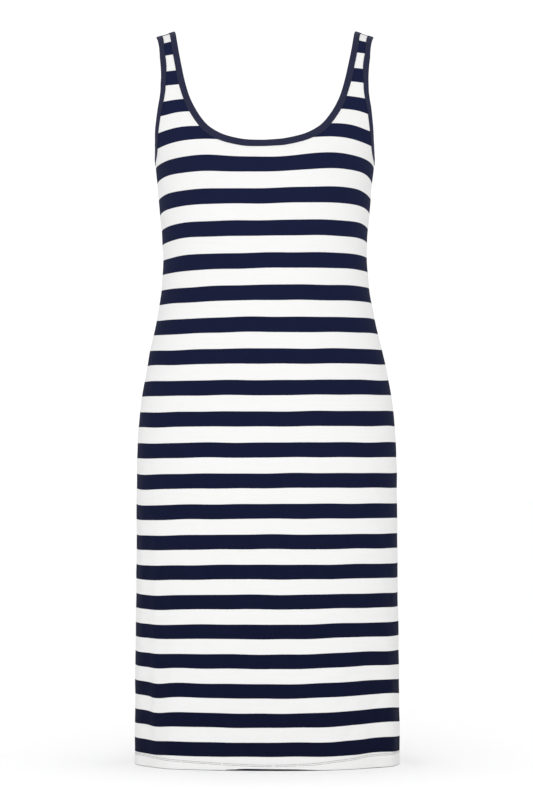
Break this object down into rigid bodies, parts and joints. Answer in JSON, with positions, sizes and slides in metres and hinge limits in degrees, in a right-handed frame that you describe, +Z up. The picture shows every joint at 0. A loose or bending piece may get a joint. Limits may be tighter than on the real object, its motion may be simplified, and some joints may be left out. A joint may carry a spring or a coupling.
{
  "type": "shift dress",
  "caption": "Sleeveless knee-length shift dress in striped jersey with a deep scoop neck and bound neck and armholes, filled out with no wearer.",
  "frame": {"origin": "midway between the two straps, at the height where they pass over the wearer's shoulders", "axes": "+Z up along the body, the front faces -Y, +X is the wearer's left"},
  "size_m": [0.3582, 0.2395, 0.9896],
  "materials": {
    "striped_jersey": "matt single jersey, horizontal navy and white stripes",
    "navy_binding": "matt navy jersey binding"
  },
  "bodies": {
    "root": {"front": "striped_jersey", "back": "striped_jersey", "neck_binding": "navy_binding", "armhole_binding_left": "navy_binding", "armhole_binding_right": "navy_binding"}
  },
  "joints": []
}
